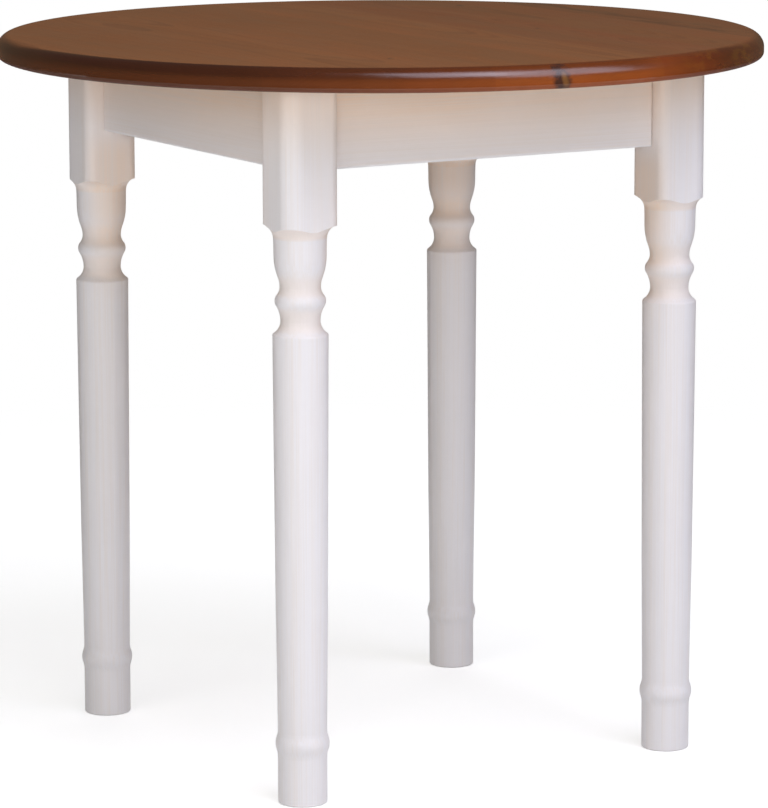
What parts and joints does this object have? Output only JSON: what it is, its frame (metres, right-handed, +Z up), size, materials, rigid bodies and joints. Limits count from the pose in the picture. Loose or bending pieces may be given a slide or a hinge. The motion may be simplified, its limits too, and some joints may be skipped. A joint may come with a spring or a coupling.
{
  "type": "round dining table",
  "caption": "Round wooden table with a stained plank top on a white painted frame of turned legs and straight aprons, for dining or tea.",
  "frame": {"origin": "on the floor, below the middle of the round top", "axes": "+Z up, +Y from the front apron to the back apron along the boards, +X to the right"},
  "size_m": [0.8, 0.8, 0.75],
  "materials": {
    "stained_top": "brown stain under satin lacquer",
    "white_paint": "white satin paint on pine",
    "bare_pine": "planed and bare",
    "zinced_steel": "bright zinc plate"
  },
  "bodies": {
    "root": {"top_board_1": "stained_top", "top_board_2": "stained_top", "top_board_3": "stained_top", "top_board_4": "stained_top", "top_board_5": "stained_top", "top_board_6": "stained_top", "top_board_7": "stained_top", "top_board_8": "stained_top", "leg_front_left": "white_paint", "leg_front_right": "white_paint", "leg_back_right": "white_paint", "leg_back_left": "white_paint", "apron_front": "white_paint", "apron_right": "white_paint", "apron_back": "white_paint", "apron_left": "white_paint", "corner_plate_front_left": "zinced_steel", "corner_plate_front_right": "zinced_steel", "corner_plate_back_right": "zinced_steel", "corner_plate_back_left": "zinced_steel", "cleat_front": "bare_pine", "cleat_right": "bare_pine", "cleat_back": "bare_pine", "cleat_left": "bare_pine", "hanger_bolts": "zinced_steel", "hanger_washers": "zinced_steel", "hanger_nuts": "zinced_steel", "plate_screws": "zinced_steel", "cleat_screws": "zinced_steel", "top_screws": "zinced_steel", "top_washers": "zinced_steel"}
  },
  "joints": []
}
